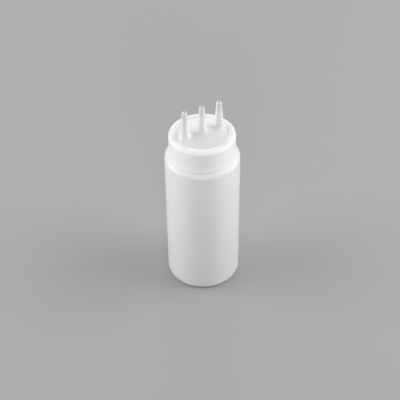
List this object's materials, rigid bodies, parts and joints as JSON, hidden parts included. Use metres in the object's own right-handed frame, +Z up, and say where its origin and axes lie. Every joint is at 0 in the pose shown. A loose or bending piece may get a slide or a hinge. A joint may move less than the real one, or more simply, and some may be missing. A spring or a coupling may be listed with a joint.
{
  "type": "squeeze dispenser bottle",
  "caption": "Translucent squeeze bottle with a screw-off ring and a nozzle insert whose tapered nozzles stand in a row.",
  "frame": {"origin": "middle of the standing ring, on the surface that the bottle stands on", "axes": "+Z up along the bottle's axis towards the nozzles; the nozzle row runs 26.4 degrees from +X towards +Y"},
  "size_m": [0.07, 0.07, 0.1953],
  "materials": {
    "bottle_plastic": "milky translucent low-density polyethylene, satin",
    "ring_plastic": "white polyethylene, satin",
    "insert_plastic": "translucent natural polyethylene, satin",
    "gasket_foam": "white foamed polyethylene, matte"
  },
  "bodies": {
    "bottle": {"bottle_body": "bottle_plastic"},
    "nozzle_head": {"nozzle_insert": "insert_plastic", "sealing_gasket": "gasket_foam"},
    "cap_ring": {"screw_ring": "ring_plastic"}
  },
  "joints": [
    {"name": "cap_lift", "type": "slide", "parent": "bottle", "child": "nozzle_head", "axis": [0, 0, 1], "range_m": [0, 0.02117]},
    {"name": "ring_turn", "type": "hinge", "parent": "nozzle_head", "child": "cap_ring", "pos_m": [0, 0, 0.156], "axis": [0, 0, 1], "range_deg": [0, 1800]}
  ],
  "couplings": [
    {"joint": "ring_turn", "follows": "cap_lift", "rad_per_m": 1484.2}
  ]
}
